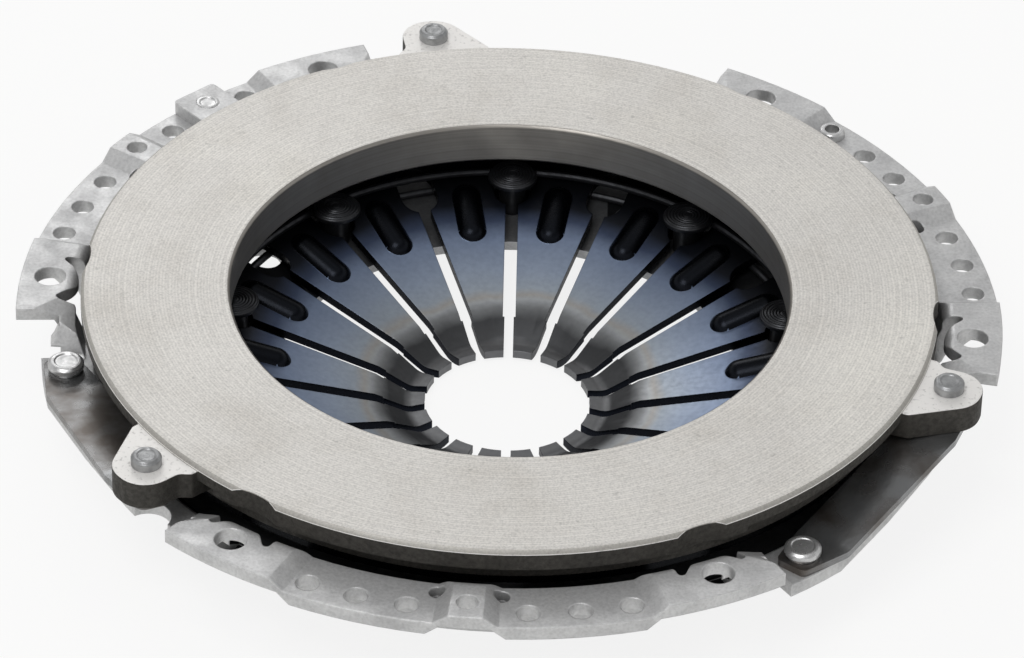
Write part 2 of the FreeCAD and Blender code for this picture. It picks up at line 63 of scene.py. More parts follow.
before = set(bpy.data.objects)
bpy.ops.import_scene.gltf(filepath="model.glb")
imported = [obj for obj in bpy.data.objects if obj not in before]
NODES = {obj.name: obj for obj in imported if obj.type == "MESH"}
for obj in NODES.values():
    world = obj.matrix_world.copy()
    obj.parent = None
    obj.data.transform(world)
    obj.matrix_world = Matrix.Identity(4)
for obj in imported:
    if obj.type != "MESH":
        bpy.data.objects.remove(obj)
CAD_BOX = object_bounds()
COVER_BODY = "cover_assembly"
PLATE_BODY = "pressure_plate_assembly"

MM = 0.001
THIRD_TURN = 120

# The plate, and how near a face must lie to a level or a wall to take its finish
BORE_RADIUS = 78.95 * MM
BORE_BAND = 1.2 * MM
PLATE_RADIUS = 121.0 * MM
CHAMFER_BAND = 2 * MM
FACE_HEIGHT = 8.0 * MM
FACE_NEAR = 0.2 * MM
LUG_HEIGHT = 6.4 * MM
LUG_NEAR = 0.3 * MM

# The cover. The shelves' corners are cut back from 5 degrees beside each bolt, to these degrees on each side.
WALL_RADIUS = 119.0 * MM
# Inside WALL_RADIUS and below FLOOR_TOP the cover's floor is painted dark as shade, darkest beyond
# POCKET_RADIUS under the plate.
POCKET_RADIUS = 78.0 * MM
FLOOR_TOP = -13.5 * MM
ARC_CENTRE = 30
BOLT_FROM_CENTRE = 30
TRIM_START = 5.0
SHELF_TRIM = {-1: 13.5, 1: 10.0}
TRIM_RADII = (127.0 * MM, 137.0 * MM)
TRIM_HEIGHTS = (-18.0 * MM, -9.6 * MM)

# The diaphragm spring
SPRING_RADIUS = 114.0 * MM
SPRING_RIM = -5.4 * MM
SPRING_SLOPE = 0.303
BEAD_INNER = 60.0 * MM
BEAD_RISE = 0.25 * MM
SLOT_INNER = 25.0 * MM

# The strap leaves, from the cover's rivets to the plate's
STRAP_FIXED_ANGLE = -46.04
STRAP_MOVING_ANGLE = -14.95
STRAP_FIXED_RADIUS = 126.0 * MM
STRAP_MOVING_RADIUS = 129.0 * MM
STRAP_BASE = -12.0 * MM
STRAP_RISE = 8.1 * MM
STRAP_PARTS = 20

# How triangles are joined, and how edges are rounded and shaded; angles in degrees
JOIN_DISTANCE = 0.002 * MM
FLAT_ANGLE = 0.6
BEVEL_ANGLE = 30.0
SMOOTH_ANGLE = 34.0
BEVEL_SEGMENTS = 2
RIVET_EDGE = 0.15 * MM


# Small helpers


def linear(hex_colour, alpha=1.0):
    """An sRGB hex colour as linear red, green, blue and alpha."""
    out = []
    for i in (1, 3, 5):
        c = int(hex_colour[i:i + 2], 16) / 255
        out.append(c / 12.92 if c <= 0.04045 else ((c + 0.055) / 1.055) ** 2.4)
    return (*out, alpha)


def add_node(tree, kind, settings=None, inputs=None):
    """Adds a node, sets its properties and ramp stops, and fills or links its inputs."""
    node = tree.nodes.new(kind)
    for key, value in (settings or {}).items():
        if key != "stops":
            setattr(node, key, value)
            continue
        while len(node.color_ramp.elements) < len(value):
            node.color_ramp.elements.new(1.0)
        for element, (position, tone) in zip(node.color_ramp.elements, value):
            element.position = position
            element.color = linear(tone) if isinstance(tone, str) else (tone, tone, tone, 1)
    for key, value in (inputs or {}).items():
        if isinstance(value, bpy.types.NodeSocket):
            tree.links.new(value, node.inputs[key])
        else:
            node.inputs[key].default_value = value
    return node


def blotch(size):
    """The scale of a noise whose blotches are this many millimetres across."""
    return 1000.0 / size


def new_material(name, metallic, roughness):
    """An empty material with its Principled shader, its metalness and its usual roughness."""
    mat = bpy.data.materials.new(name)
    mat.use_nodes = True
    tree = mat.node_tree
    tree.nodes.clear()
    shader = add_node(tree, "ShaderNodeBsdfPrincipled", None,
                      {"Metallic": metallic, "Roughness": roughness})
    add_node(tree, "ShaderNodeOutputMaterial", None, {"Surface": shader.outputs[0]})
    return mat, tree, shader


def place_on_part(tree):
    """Object coordinates, and the distance from the shaft's axis."""
    coords = add_node(tree, "ShaderNodeTexCoord").outputs["Object"]
    parts = add_node(tree, "ShaderNodeSeparateXYZ", None, {0: coords})
    flat = add_node(tree, "ShaderNodeCombineXYZ", None, {0: parts.outputs[0], 1: parts.outputs[1]})
    radius = add_node(tree, "ShaderNodeVectorMath", {"operation": "LENGTH"}, {0: flat.outputs[0]})
    return coords, radius.outputs["Value"]


def finish_surface(tree, shader, colour, rough, height, depth, edge):
    """Links a finish's colour, gloss and fine relief, with edges that look slightly rounded."""
    tree.links.new(colour, shader.inputs["Base Color"])
    tree.links.new(rough, shader.inputs["Roughness"])
    rounded = add_node(tree, "ShaderNodeBevel", {"samples": 4}, {"Radius": edge})
    bump = add_node(tree, "ShaderNodeBump", None,
                    {"Height": height, "Distance": depth, "Strength": 0.5, "Normal": rounded.outputs[0]})
    tree.links.new(bump.outputs[0], shader.inputs["Normal"])


# Finishes. A Mix node's colour inputs are numbers 6 and 7, and its colour output is number 2.

TINT = {"data_type": "RGBA", "blend_type": "MULTIPLY"}
BLEND = {"data_type": "RGBA", "blend_type": "MIX"}
NOISE = "ShaderNodeTexNoise"
RAMP = "ShaderNodeValToRGB"
MIX = "ShaderNodeMix"
MATH = "ShaderNodeMath"
LINES = {"noise_dimensions": "1D"}


def turned_face_finish(name, colour, stain, pale):
    """Grey iron faced on a lathe: the pale satin that even light gives it, with fine tool rings and pores."""
    mat, tree, shader = new_material(name, 0.45, 0.5)
    coords, radius = place_on_part(tree)
    # The tool's rings are 0.2 mm apart on the real face, and 0.9 mm here so that they show.
    turns = add_node(tree, MATH, {"operation": "DIVIDE"}, {0: radius, 1: 0.9 * MM})
    fine = add_node(tree, NOISE, LINES, {"W": turns.outputs[0], "Scale": 1.0, "Detail": 2.0}).outputs["Fac"]
    cloud = add_node(tree, NOISE, None,
                     {"Vector": coords, "Scale": blotch(26), "Detail": 5.0, "Roughness": 0.62}).outputs["Fac"]
    # Grains of 0.1 mm, drawn 0.6 mm wide so that the render shows them.
    grit = add_node(tree, NOISE, None, {"Vector": coords, "Scale": blotch(0.6), "Detail": 3.0}).outputs["Fac"]
    pores = add_node(tree, NOISE, None,
                     {"Vector": coords, "Scale": blotch(2.4), "Detail": 1.0}).outputs["Fac"]
    marks = add_node(tree, RAMP, {"stops": [(0.48, 0.0), (0.8, 0.45)]}, {0: cloud})
    base = add_node(tree, MIX, BLEND, {0: marks.outputs[0], 6: linear(colour), 7: linear(stain)})
    wide = add_node(tree, NOISE, None, {"Vector": coords, "Scale": blotch(75), "Detail": 4.0}).outputs["Fac"]
    rubbed = add_node(tree, RAMP, {"stops": [(0.55, 0.0), (0.72, 0.8)]}, {0: wide})
    base = add_node(tree, MIX, BLEND, {0: rubbed.outputs[0], 6: base.outputs[2], 7: linear(pale)})
    wave = add_node(tree, MATH, {"operation": "PINGPONG"}, {0: turns.outputs[0], 1: 0.5})
    wave = add_node(tree, MATH, {"operation": "MULTIPLY_ADD"}, {0: wave.outputs[0], 1: 0.8, 2: fine})
    # Tool lines, then grains, then pores darken the face in turn.
    for source, stops in ((wave.outputs[0], [(0.45, 0.86), (0.95, 1.0)]), (grit, [(0.3, 0.78), (0.6, 1.0)]),
                          (pores, [(0.22, 0.84), (0.28, 1.0)])):
        layer = add_node(tree, RAMP, {"stops": stops}, {0: source})
        base = add_node(tree, MIX, TINT, {0: 1.0, 6: base.outputs[2], 7: layer.outputs[0]})
    rough = add_node(tree, RAMP, {"stops": [(0.35, 0.46), (0.75, 0.58)]}, {0: cloud})
    finish_surface(tree, shader, base.outputs[2], rough.outputs[0], wave.outputs[0],
                   depth=0.04 * MM, edge=0.4 * MM)
    return mat


def milled_lug_finish(colour):
    """Lug tops faced by a cutter: nearly white in soft light, with small pores."""
    mat, tree, shader = new_material("milled_grey_iron", 0.35, 0.45)
    coords = add_node(tree, "ShaderNodeTexCoord").outputs["Object"]
    pores = add_node(tree, NOISE, None,
                     {"Vector": coords, "Scale": blotch(1.25), "Detail": 2.0}).outputs["Fac"]
    tone = add_node(tree, RAMP, {"stops": [(0.28, 0.72), (0.42, 1.0)]}, {0: pores})
    base = add_node(tree, MIX, TINT, {0: 1.0, 6: linear(colour), 7: tone.outputs[0]})
    rough = add_node(tree, RAMP, {"stops": [(0.3, 0.55), (0.6, 0.42)]}, {0: pores})
    finish_surface(tree, shader, base.outputs[2], rough.outputs[0], pores,
                   depth=0.15 * MM, edge=0.6 * MM)
    return mat


def turned_bore_finish(colour):
    """The bore's wall: darker than the face, with lines that run round it at each height."""
    mat, tree, shader = new_material("bored_grey_iron", 0.8, 0.36)
    coords = add_node(tree, "ShaderNodeTexCoord").outputs["Object"]
    parts = add_node(tree, "ShaderNodeSeparateXYZ", None, {0: coords})
    # The boring tool's lines are far closer on the real wall, and 0.8 mm apart here so that they show.
    turns = add_node(tree, MATH, {"operation": "DIVIDE"}, {0: parts.outputs[2], 1: 0.8 * MM})
    lines = add_node(tree, NOISE, LINES, {"W": turns.outputs[0], "Scale": 1.0, "Detail": 2.0}).outputs["Fac"]
    patch = add_node(tree, NOISE, None, {"Vector": coords, "Scale": blotch(11), "Detail": 4.0}).outputs["Fac"]
    tone = add_node(tree, RAMP, {"stops": [(0.3, 0.82), (0.7, 1.0)]}, {0: lines})
    base = add_node(tree, MIX, TINT, {0: 1.0, 6: linear(colour), 7: tone.outputs[0]})
    cloud = add_node(tree, RAMP, {"stops": [(0.3, 0.78), (0.7, 1.0)]}, {0: patch})
    base = add_node(tree, MIX, TINT, {0: 1.0, 6: base.outputs[2], 7: cloud.outputs[0]})
    rough = add_node(tree, RAMP, {"stops": [(0.3, 0.42), (0.7, 0.32)]}, {0: patch})
    finish_surface(tree, shader, base.outputs[2], rough.outputs[0], lines,
                   depth=0.06 * MM, edge=0.3 * MM)
    return mat


def cast_finish(colour):
    """As-cast iron: dark, dull and grainy from the sand."""
    mat, tree, shader = new_material("sand_cast_iron", 0.3, 0.7)
    coords = add_node(tree, "ShaderNodeTexCoord").outputs["Object"]
    sand = add_node(tree, NOISE, None,
                    {"Vector": coords, "Scale": blotch(1.4), "Detail": 5.0, "Roughness": 0.65}).outputs["Fac"]
    patch = add_node(tree, NOISE, None, {"Vector": coords, "Scale": blotch(13), "Detail": 3.0}).outputs["Fac"]
    tone = add_node(tree, RAMP, {"stops": [(0.3, 0.5), (0.7, 1.0)]}, {0: sand})
    base = add_node(tree, MIX, TINT, {0: 1.0, 6: linear(colour), 7: tone.outputs[0]})
    cloud = add_node(tree, RAMP, {"stops": [(0.3, 0.7), (0.7, 1.0)]}, {0: patch})
    base = add_node(tree, MIX, TINT, {0: 1.0, 6: base.outputs[2], 7: cloud.outputs[0]})
    rough = add_node(tree, RAMP, {"stops": [(0.3, 0.8), (0.7, 0.55)]}, {0: sand})
    finish_surface(tree, shader, base.outputs[2], rough.outputs[0], sand,
                   depth=0.6 * MM, edge=0.6 * MM)
    return mat


def pressed_steel_finish(name, colour, shade, worn):
    """Cold-rolled sheet after pressing: satin grey clouds, edges rubbed pale and creases darkened as painted
    shade.
    """
    mat, tree, shader = new_material(name, 0.6, 0.42)
    coords = add_node(tree, "ShaderNodeTexCoord").outputs["Object"]
    cloud = add_node(tree, NOISE, None,
                     {"Vector": coords, "Scale": blotch(9), "Detail": 6.0, "Roughness": 0.62}).outputs["Fac"]
    tooth = add_node(tree, NOISE, None,
                     {"Vector": coords, "Scale": blotch(0.9), "Detail": 3.0}).outputs["Fac"]
    marks = add_node(tree, RAMP, {"stops": [(0.38, 0.0), (0.72, 0.7)]}, {0: cloud})
    base = add_node(tree, MIX, BLEND, {0: marks.outputs[0], 6: linear(colour), 7: linear(shade)})
    normal = add_node(tree, "ShaderNodeNewGeometry").outputs["Normal"]
    wide = add_node(tree, "ShaderNodeBevel", {"samples": 4}, {"Radius": 1.2 * MM})
    turn = add_node(tree, "ShaderNodeVectorMath", {"operation": "DOT_PRODUCT"},
                    {0: normal, 1: wide.outputs[0]})
    rubbed = add_node(tree, RAMP, {"stops": [(0.8, 0.7), (0.97, 0.0)]}, {0: turn.outputs["Value"]})
    base = add_node(tree, MIX, BLEND, {0: rubbed.outputs[0], 6: base.outputs[2], 7: linear(worn)})
    grain = add_node(tree, RAMP, {"stops": [(0.3, 0.84), (0.62, 1.0)]}, {0: tooth})
    base = add_node(tree, MIX, TINT, {0: 1.0, 6: base.outputs[2], 7: grain.outputs[0]})
    # Ambient occlusion darkens the creases: painted shade.
    crease = add_node(tree, "ShaderNodeAmbientOcclusion", {"samples": 8, "only_local": True},
                      {"Distance": 3 * MM})
    crease_shade = add_node(tree, RAMP, {"stops": [(0.4, 0.35), (0.88, 1.0)]}, {0: crease.outputs["AO"]})
    base = add_node(tree, MIX, TINT, {0: 1.0, 6: base.outputs[2], 7: crease_shade.outputs[0]})
    rough = add_node(tree, RAMP, {"stops": [(0.35, 0.32), (0.65, 0.5)]}, {0: cloud})
    finish_surface(tree, shader, base.outputs[2], rough.outputs[0], tooth,
                   depth=0.15 * MM, edge=0.7 * MM)
    return mat


def spring_finish(name, stops, metallic, rough_low):
    """Tempered spring steel, whose oxide tint and painted shade follow the radius: the stops run from the
    tips outwards.
    """
    first = 22 * MM
    span = 60 * MM
    wobble = 8 * MM
    mat, tree, shader = new_material(name, metallic, rough_low + 0.03)
    coords, radius = place_on_part(tree)
    wander = add_node(tree, NOISE, None,
                     {"Vector": coords, "Scale": blotch(22), "Detail": 3.0}).outputs["Fac"]
    shift = add_node(tree, MATH, {"operation": "MULTIPLY_ADD"}, {0: wander, 1: wobble, 2: -wobble / 2})
    place = add_node(tree, MATH, {"operation": "ADD"}, {0: radius, 1: shift.outputs[0]})
    place = add_node(tree, MATH, {"operation": "MULTIPLY_ADD"},
                     {0: place.outputs[0], 1: 1 / span, 2: -first / span})
    base = add_node(tree, RAMP, {"stops": stops}, {0: place.outputs[0]})
    fine = add_node(tree, NOISE, None, {"Vector": coords, "Scale": blotch(1.5), "Detail": 4.0}).outputs["Fac"]
    grain = add_node(tree, RAMP, {"stops": [(0.3, 0.9), (0.65, 1.0)]}, {0: fine})
    base = add_node(tree, MIX, TINT, {0: 1.0, 6: base.outputs[0], 7: grain.outputs[0]})
    rough = add_node(tree, RAMP, {"stops": [(0.3, rough_low + 0.09), (0.7, rough_low)]}, {0: fine})
    finish_surface(tree, shader, base.outputs[2], rough.outputs[0], fine,
                   depth=0.02 * MM, edge=0.4 * MM)
    return mat


def strip_finish(colour, tint):
    """Rolled spring strip: oiled and glossy, with grey-blue and brown patches."""
    mat, tree, shader = new_material("rolled_spring_strip", 0.85, 0.26)
    coords = add_node(tree, "ShaderNodeTexCoord").outputs["Object"]
    patch = add_node(tree, NOISE, None, {"Vector": coords, "Scale": blotch(15), "Detail": 4.0}).outputs["Fac"]
    fine = add_node(tree, NOISE, None, {"Vector": coords, "Scale": blotch(1.4), "Detail": 2.0}).outputs["Fac"]
    marks = add_node(tree, RAMP, {"stops": [(0.4, 0.0), (0.66, 1.0)]}, {0: patch})
    base = add_node(tree, MIX, BLEND, {0: marks.outputs[0], 6: linear(colour), 7: linear(tint)})
    rough = add_node(tree, RAMP, {"stops": [(0.3, 0.2), (0.7, 0.34)]}, {0: patch})
    finish_surface(tree, shader, base.outputs[2], rough.outputs[0], fine,
                   depth=0.06 * MM, edge=0.2 * MM)
    return mat


def rivet_finish(name, colour, rough_low, ring_depth):
    """Headed steel: rings from the heading tool about each rivet's own axis, and scuffs on the crown."""
    mat, tree, shader = new_material(name, 0.85, rough_low)
    coords = add_node(tree, "ShaderNodeTexCoord")
    own = add_node(tree, "ShaderNodeVectorMath", {"operation": "LENGTH"}, {0: coords.outputs["UV"]})
    # The tool's rings are finer on a real head, and 0.55 mm apart here so that they show.
    turns = add_node(tree, MATH, {"operation": "DIVIDE"}, {0: own.outputs["Value"], 1: 0.55 * MM})
    rings = add_node(tree, NOISE, LINES, {"W": turns.outputs[0], "Scale": 1.0, "Detail": 1.0}).outputs["Fac"]
    scuff = add_node(tree, NOISE, None,
                     {"Vector": coords.outputs["Object"], "Scale": blotch(2), "Detail": 4.0}).outputs["Fac"]
    tone = add_node(tree, RAMP, {"stops": [(0.3, 0.7), (0.62, 1.0)]}, {0: scuff})
    base = add_node(tree, MIX, TINT, {0: 1.0, 6: linear(colour), 7: tone.outputs[0]})
    rough = add_node(tree, RAMP, {"stops": [(0.3, rough_low + 0.14), (0.7, rough_low)]}, {0: scuff})
    finish_surface(tree, shader, base.outputs[2], rough.outputs[0], rings,
                   depth=ring_depth, edge=0.3 * MM)
    return mat


# Shapes


def ring_blocks(spans, radii, heights):
    """One object of blocks that each fill a span of degrees between two radii and two heights."""
    bm = bmesh.new()
    for start, end in spans:
        corners = [bm.verts.new((r, 0, z)) for r, z in ((radii[0], heights[0]), (radii[1], heights[0]),
                                                       (radii[1], heights[1]), (radii[0], heights[1]))]
        face = bm.faces.new(corners)
        turn = Matrix.Rotation(math.radians(start), 3, "Z")
        bmesh.ops.rotate(bm, verts=corners, cent=(0, 0, 0), matrix=turn)
        bmesh.ops.spin(bm, geom=[face], cent=(0, 0, 0), axis=(0, 0, 1), dvec=(0, 0, 0),
                       angle=math.radians(end - start), steps=2, use_merge=False)
    bmesh.ops.recalc_face_normals(bm, faces=bm.faces)
    mesh = bpy.data.meshes.new("ring_blocks")
    bm.to_mesh(mesh)
    bm.free()
    obj = bpy.data.objects.new("ring_blocks", mesh)
    bpy.context.scene.collection.objects.link(obj)
    return obj


def cut_away(obj, cutter):
    """Takes the cutter's shape out of a piece, removes the cutter and gives the piece's new mesh."""
    cut = obj.modifiers.new("trim", "BOOLEAN")
    cut.operation = "DIFFERENCE"
    cut.solver = "EXACT"
    cut.object = cutter
    evaluated = obj.evaluated_get(bpy.context.evaluated_depsgraph_get())
    mesh = bpy.data.meshes.new_from_object(evaluated)
    if not mesh.polygons:
        raise RuntimeError("The trim left nothing of " + obj.name)
    obj.modifiers.remove(cut)
    obj.data = mesh
    bpy.data.objects.remove(cutter)
    return mesh


def ring_top(bm, rings):
    """Turns rings into a head's level top: each is a step inwards and its height, in metres."""
    level = [f for f in bm.faces if f.normal.z > 0.99]
    top = max(level, key=lambda f: (round(f.calc_center_median().z, 5), f.calc_area()))
    for step, rise in rings:
        bmesh.ops.inset_region(bm, faces=[top], thickness=step, depth=rise, use_even_offset=True)


def merged_copy(node, name, bevel_width=0.0, cutter=None, rings=()):
    """A copy of a CAD node with its triangles joined, flat areas made whole and edges rounded."""
    mesh = NODES[node].data.copy()
    mesh.name = name
    obj = bpy.data.objects.new(name, mesh)
    bpy.context.scene.collection.objects.link(obj)
    mesh.materials.clear()
    bm = bmesh.new()
    bm.from_mesh(mesh)
    bmesh.ops.remove_doubles(bm, verts=bm.verts, dist=JOIN_DISTANCE)
    if cutter:
        bm.to_mesh(mesh)
        mesh = cut_away(obj, cutter)
        bm.clear()
        bm.from_mesh(mesh)
    bmesh.ops.dissolve_limit(bm, angle_limit=math.radians(FLAT_ANGLE), verts=bm.verts, edges=bm.edges,
                             use_dissolve_boundaries=False)
    if bevel_width > 0:
        sharp = [e for e in bm.edges if e.is_manifold and e.calc_face_angle(0.0) > math.radians(BEVEL_ANGLE)]
        bmesh.ops.bevel(bm, geom=sharp, offset=bevel_width, offset_type="OFFSET", segments=BEVEL_SEGMENTS,
                        profile=0.5, affect="EDGES", clamp_overlap=True, material=-1, loop_slide=False)
    if rings:
        ring_top(bm, rings)
    bm.to_mesh(mesh)
    bm.free()
    smooth_by_angle(obj)
    even = obj.modifiers.new("even_normals", "WEIGHTED_NORMAL")
    even.keep_sharp = True
    even.weight = 100
    return obj


def own_axis_map(obj):
    """A UV map that holds each point's place from the piece's own upright axis, in metres."""
    mesh = obj.data
    xs = [v.co.x for v in mesh.vertices]
    ys = [v.co.y for v in mesh.vertices]
    mid = ((min(xs) + max(xs)) / 2, (min(ys) + max(ys)) / 2)
    layer = mesh.uv_layers.new(name="own_axis")
    for corner in mesh.loops:
        co = mesh.vertices[corner.vertex_index].co
        layer.data[corner.index].uv = (co.x - mid[0], co.y - mid[1])


def smooth_by_angle(obj):
    """Smooth shading everywhere but over edges sharper than SMOOTH_ANGLE."""
    mesh = obj.data
    mesh.shade_smooth()
    bm = bmesh.new()
    bm.from_mesh(mesh)
    for edge in bm.edges:
        edge.smooth = not edge.is_manifold or edge.calc_face_angle(0.0) < math.radians(SMOOTH_ANGLE)
    bm.to_mesh(mesh)
    bm.free()


def assign_by(obj, materials, choose):
    """Puts materials on a mesh, one for each face as choose says."""
    for mat in materials:
        obj.data.materials.append(mat)
    for face in obj.data.polygons:
        face.material_index = choose(face)


# Settings that a user would change


class ClutchColours(bpy.types.PropertyGroup):
    """Colours as sRGB hex values."""
    face: bpy.props.StringProperty(name="Friction face", description="Turned iron", default="#e9e6e1")
    stain: bpy.props.StringProperty(name="Face stains", description="Handling marks", default="#d0cac1")
    pale: bpy.props.StringProperty(name="Rubbed face", description="Brighter patches", default="#f6f3ec")
    # Darker than the face as painted shade, so that this tilted edge does not show brighter than the level
    # face.
    shaded_chamfer: bpy.props.StringProperty(name="Chamfer", description="Turned edge in painted shade", default="#b9b6b0")
    lug: bpy.props.StringProperty(name="Lug tops", description="Milled iron", default="#efedea")
    bore: bpy.props.StringProperty(name="Bore wall", description="Bored iron", default="#a5a19b")
    cast: bpy.props.StringProperty(name="Cast sides", description="Sand-cast iron", default="#4c4944")
    sheet: bpy.props.StringProperty(name="Cover", description="Pressed sheet", default="#d6d6d6")
    sheet_shade: bpy.props.StringProperty(name="Cover clouds", description="Dull patches", default="#b0b0b1")
    worn: bpy.props.StringProperty(name="Worn edges", description="Rubbed sheet", default="#ececec")
    # The inside, its clouds and the pocket are painted shade: the inner floor is the same sheet, drawn darker
    # where it lies in shadow and darkest under the plate.
    inside: bpy.props.StringProperty(name="Cover inside", description="Painted shade inside the cover", default="#606163")
    inside_shade: bpy.props.StringProperty(name="Inside clouds", description="Clouds in the painted shade", default="#3d3e40")
    pocket: bpy.props.StringProperty(name="Cover pocket", description="Deepest painted shade", default="#1c1d1f")
    bead: bpy.props.StringProperty(name="Beads", description="Dark oxide on beads, painted shade on slot walls", default="#161b26")
    strip: bpy.props.StringProperty(name="Straps", description="Spring strip", default="#8e8f90")
    strip_tint: bpy.props.StringProperty(name="Strap patches", description="Temper colour", default="#625c57")
    rivet: bpy.props.StringProperty(name="Rivets", description="Headed steel", default="#a5a6a7")
    # The fulcrum rivets' colour is dark as painted shade, for the shadow they sit in under the plate.
    black: bpy.props.StringProperty(name="Fulcrum rivets", description="Dark as painted shade", default="#3a3b3e")
    bright: bpy.props.StringProperty(name="Bright rivets", description="Polished crown", default="#d8d8d8")
    wire: bpy.props.StringProperty(name="Wires", description="Drawn spring wire", default="#3c3d40")
    floor: bpy.props.StringProperty(name="Floor", description="Pale studio floor", default="#f4f4f2")


class ClutchSizes(bpy.types.PropertyGroup):
    """Sizes of the rounded edges and of the floor."""
    plate_edge: bpy.props.FloatProperty(name="Plate edge", description="Rounding of the plate's edges",
                                        default=0.35 * MM, unit="LENGTH", precision=5)
    sheet_edge: bpy.props.FloatProperty(name="Sheet edge", description="Rounding of the sheared edges",
                                        default=0.5 * MM, unit="LENGTH", precision=5)
    spring_edge: bpy.props.FloatProperty(name="Spring edge", description="Rounding of the fingers' edges",
                                         default=0.3 * MM, unit="LENGTH", precision=5)
    floor_size: bpy.props.FloatProperty(name="Floor size", description="Width of the studio floor",
                                        default=6.0, unit="LENGTH")


def colours():
    """The scene's colours."""
    return bpy.context.scene.clutch_colours


def sizes():
    """The scene's sizes."""
    return bpy.context.scene.clutch_sizes


# One operator for each piece or group of like pieces


class CLUTCH_OT_pressure_plate(bpy.types.Operator):
    """Pressure plate with its turned face, milled lugs, bored wall and cast sides"""
    bl_idname = "clutch.pressure_plate"
    bl_label = "Pressure plate"

    def execute(self, context):
        c = colours()
        obj = merged_copy("pressure_plate", "friction_plate", bevel_width=sizes().plate_edge)
        # The last finish is the turned face in a darker colour: painted shade on the tilted edge band.
        finishes = [turned_face_finish("turned_grey_iron_face", c.face, c.stain, c.pale),
                    milled_lug_finish(c.lug), turned_bore_finish(c.bore), cast_finish(c.cast),
                    turned_face_finish("turned_edge_in_painted_shade", c.shaded_chamfer, c.shaded_chamfer, c.shaded_chamfer)]
        turned, milled, bored, cast, shaded_chamfer = range(len(finishes))

        def choose(face):
            r = math.hypot(face.center.x, face.center.y)
            level = face.normal.z > 0.9
            if level and face.center.z > FACE_HEIGHT - FACE_NEAR:
                return turned
            if level and abs(face.center.z - LUG_HEIGHT) < LUG_NEAR:
                return milled
            if r > PLATE_RADIUS - CHAMFER_BAND and face.center.z > LUG_HEIGHT:
                return shaded_chamfer if face.normal.z > 0.3 else milled
            return bored if r < BORE_RADIUS + BORE_BAND else cast

        assign_by(obj, finishes, choose)
        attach(obj, PLATE_BODY)
        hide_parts("pressure_plate")
        return {"FINISHED"}


class CLUTCH_OT_cover(bpy.types.Operator):
    """Pressed cover with its pads, holes and shelves, clean outside, with its inner floor painted darker as
    shade
    """
    bl_idname = "clutch.cover"
    bl_label = "Cover"

    def execute(self, context):
        c = colours()
        bolts = [(ARC_CENTRE + THIRD_TURN * k + side * BOLT_FROM_CENTRE, side)
                 for k in range(3) for side in (-1, 1)]
        cutter = ring_blocks([(a + side * TRIM_START, a + side * SHELF_TRIM[side]) for a, side in bolts],
                             TRIM_RADII, TRIM_HEIGHTS)
        obj = merged_copy("cover", "pressed_cover", bevel_width=sizes().sheet_edge, cutter=cutter)
        # The second and third finishes are darker copies of the sheet: painted shade on the inner floor,
        # deepest beyond POCKET_RADIUS under the plate.
        finishes = [pressed_steel_finish("pressed_cold_rolled_steel", c.sheet, c.sheet_shade, c.worn),
                    pressed_steel_finish("painted_shade_steel_inside", c.inside, c.inside_shade, c.inside),
                    pressed_steel_finish("painted_deep_shade_steel", c.pocket, c.pocket, c.pocket)]
        clean, painted_shade_floor, painted_deep_shade_floor = range(len(finishes))

        def choose(face):
            r = math.hypot(face.center.x, face.center.y)
            if r > WALL_RADIUS or face.center.z > FLOOR_TOP or face.normal.z < 0.2:
                return clean
            return painted_shade_floor if r < POCKET_RADIUS else painted_deep_shade_floor

        assign_by(obj, finishes, choose)
        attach(obj, COVER_BODY)
        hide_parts("cover")
        return {"FINISHED"}


class CLUTCH_OT_spring(bpy.types.Operator):
    """Diaphragm spring, copied with rounded edges and a finish that follows the radius"""
    bl_idname = "clutch.spring"
    bl_label = "Diaphragm spring"

    def execute(self, context):
        obj = merged_copy("diaphragm_spring", "finger_spring", bevel_width=sizes().spring_edge)
        # Grey at the tips, a dark band of painted shade at the bend before the tips, a pale step, then blue
        # painted ever darker as shade towards the root under the plate
        stops = [(0.0, "#76777a"), (0.07, "#7b7c7e"), (0.125, "#48494b"), (0.21, "#3f4042"),
                 (0.27, "#7d7f81"), (0.31, "#a4a7aa"), (0.335, "#a3a19e"), (0.38, "#9ba4af"),
                 (0.5, "#8f9bae"), (0.68, "#77859e"), (0.79, "#3a455d"), (0.88, "#151922"), (1.0, "#080a0f")]
        finishes = [spring_finish("blue_tempered_steel_and_painted_shade", stops, 0.7, 0.33),
                    spring_finish("dark_oxide_beads_and_shaded_slot_walls", [(0.0, colours().bead), (1.0, "#07090d")], 0.85, 0.23)]
        blue, dark = range(len(finishes))

        def choose(face):
            r = math.hypot(face.center.x, face.center.y)
            sheet = SPRING_RIM - (SPRING_RADIUS - r) * SPRING_SLOPE
            # Slot walls take the dark bead finish as painted shade on the fingers' edges; the beads keep
            # their dark oxide.
            slot_wall = abs(face.normal.z) < 0.5 and r > SLOT_INNER
            bead = r > BEAD_INNER and face.center.z > sheet + BEAD_RISE
            return dark if slot_wall or bead else blue

        assign_by(obj, finishes, choose)
        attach(obj, COVER_BODY)
        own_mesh(obj)
        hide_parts("diaphragm_spring")
        return {"FINISHED"}


